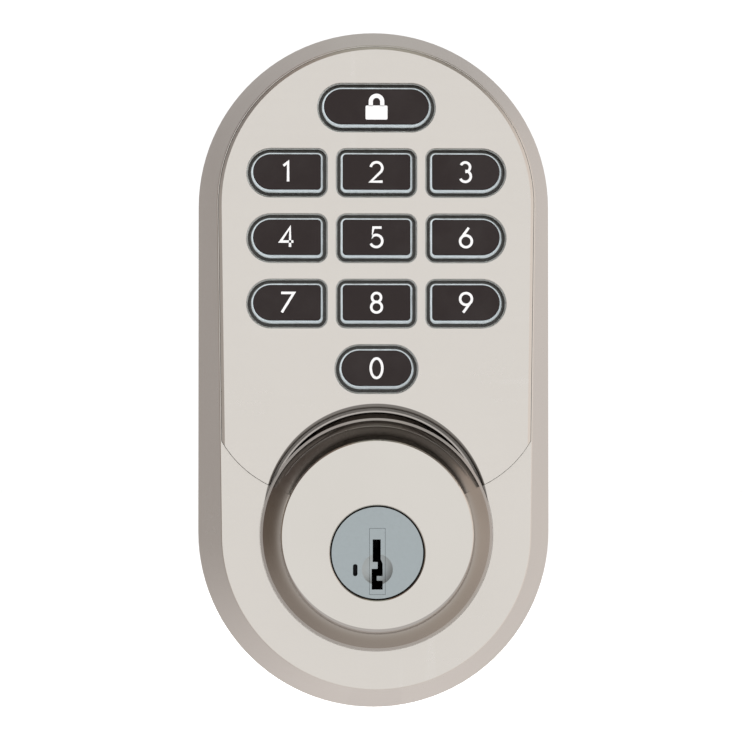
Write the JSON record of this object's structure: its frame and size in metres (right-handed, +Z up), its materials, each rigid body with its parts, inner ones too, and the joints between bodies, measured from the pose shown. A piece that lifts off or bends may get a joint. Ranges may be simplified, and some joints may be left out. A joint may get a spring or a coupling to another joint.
{
  "type": "keypad smart lock",
  "caption": "Outside unit of a keypad deadbolt: capsule-shaped satin-nickel housing, black keys with pale bezels, and a keyed cylinder under a flared guard.",
  "frame": {"origin": "on the key plug's axis, in the plane where the lock meets the door's face", "axes": "+Z up, +Y into the door, -Y the way the keypad faces, +X to the right of a person facing the lock"},
  "size_m": [0.065, 0.073, 0.1252],
  "materials": {
    "satin_nickel": "satin nickel plate on die-cast zinc, soft warm grey",
    "guard_nickel": "nickel plate, satin face and brighter flank",
    "plug_nickel": "nickel plate on brass, cooler grey, fine matt",
    "brass_part": "machined brass",
    "zinc_steel": "zinc plated steel",
    "spring_steel": "bright spring steel",
    "key_bezel": "translucent pale grey plastic, fine matt",
    "key_black": "near-black satin plastic",
    "black_rubber": "black rubber",
    "silicone": "translucent silicone",
    "board_green": "green solder mask on glass fibre board",
    "tray_plastic": "black moulded plastic",
    "contact_gold": "gold plated contact",
    "led_white": "white light-emitting package",
    "chip_black": "black moulding compound",
    "header_white": "natural nylon"
  },
  "bodies": {
    "lock_body": {"back_plate": "zinc_steel", "backlight_leds": "led_white", "buzzer": "chip_black", "cable_grommet": "black_rubber", "cable_header": "header_white", "controller_chip": "chip_black", "cylinder_body": "brass_part", "cylinder_guard": "guard_nickel", "cylinder_screws": "zinc_steel", "dome_contacts": "contact_gold", "door_gasket": "black_rubber", "housing_shell": "satin_nickel", "keypad_board": "board_green", "keypad_membrane": "silicone", "keypad_panel": "satin_nickel", "keypad_tray": "tray_plastic", "module_screws": "zinc_steel", "mounting_posts": "zinc_steel", "panel_seal": "black_rubber", "plate_screws": "zinc_steel"},
    "plug": {"key_plug": "plug_nickel", "keyway_insert": "plug_nickel", "follower_pins": "brass_part", "pin_springs": "spring_steel", "spring_cover": "spring_steel", "wafer_racks": "brass_part", "sidebar": "zinc_steel", "sidebar_springs": "spring_steel", "plug_retainer": "spring_steel", "torque_blade": "zinc_steel"},
    "key_lock": {"key_lock_cap": "key_bezel", "key_lock_face": "key_black"},
    "key_0": {"key_0_cap": "key_bezel", "key_0_face": "key_black"},
    "key_1": {"key_1_cap": "key_bezel", "key_1_face": "key_black"},
    "key_2": {"key_2_cap": "key_bezel", "key_2_face": "key_black"},
    "key_3": {"key_3_cap": "key_bezel", "key_3_face": "key_black"},
    "key_4": {"key_4_cap": "key_bezel", "key_4_face": "key_black"},
    "key_5": {"key_5_cap": "key_bezel", "key_5_face": "key_black"},
    "key_6": {"key_6_cap": "key_bezel", "key_6_face": "key_black"},
    "key_7": {"key_7_cap": "key_bezel", "key_7_face": "key_black"},
    "key_8": {"key_8_cap": "key_bezel", "key_8_face": "key_black"},
    "key_9": {"key_9_cap": "key_bezel", "key_9_face": "key_black"}
  },
  "joints": [
    {"name": "key_lock_press", "type": "slide", "parent": "lock_body", "child": "key_lock", "axis": [0, 1, 0], "range_m": [0, 0.0009], "stiffness_N_per_m": 1200, "springref_m": -0.0003},
    {"name": "key_0_press", "type": "slide", "parent": "lock_body", "child": "key_0", "axis": [0, 1, 0], "range_m": [0, 0.0009], "stiffness_N_per_m": 1200, "springref_m": -0.0003},
    {"name": "key_1_press", "type": "slide", "parent": "lock_body", "child": "key_1", "axis": [0, 1, 0], "range_m": [0, 0.0009], "stiffness_N_per_m": 1200, "springref_m": -0.0003},
    {"name": "key_2_press", "type": "slide", "parent": "lock_body", "child": "key_2", "axis": [0, 1, 0], "range_m": [0, 0.0009], "stiffness_N_per_m": 1200, "springref_m": -0.0003},
    {"name": "key_3_press", "type": "slide", "parent": "lock_body", "child": "key_3", "axis": [0, 1, 0], "range_m": [0, 0.0009], "stiffness_N_per_m": 1200, "springref_m": -0.0003},
    {"name": "key_4_press", "type": "slide", "parent": "lock_body", "child": "key_4", "axis": [0, 1, 0], "range_m": [0, 0.0009], "stiffness_N_per_m": 1200, "springref_m": -0.0003},
    {"name": "key_5_press", "type": "slide", "parent": "lock_body", "child": "key_5", "axis": [0, 1, 0], "range_m": [0, 0.0009], "stiffness_N_per_m": 1200, "springref_m": -0.0003},
    {"name": "key_6_press", "type": "slide", "parent": "lock_body", "child": "key_6", "axis": [0, 1, 0], "range_m": [0, 0.0009], "stiffness_N_per_m": 1200, "springref_m": -0.0003},
    {"name": "key_7_press", "type": "slide", "parent": "lock_body", "child": "key_7", "axis": [0, 1, 0], "range_m": [0, 0.0009], "stiffness_N_per_m": 1200, "springref_m": -0.0003},
    {"name": "key_8_press", "type": "slide", "parent": "lock_body", "child": "key_8", "axis": [0, 1, 0], "range_m": [0, 0.0009], "stiffness_N_per_m": 1200, "springref_m": -0.0003},
    {"name": "key_9_press", "type": "slide", "parent": "lock_body", "child": "key_9", "axis": [0, 1, 0], "range_m": [0, 0.0009], "stiffness_N_per_m": 1200, "springref_m": -0.0003},
    {"name": "plug_turn", "type": "hinge", "parent": "lock_body", "child": "plug", "pos_m": [0, 0, 0], "axis": [0, 1, 0], "range_deg": [-90, 90]}
  ]
}
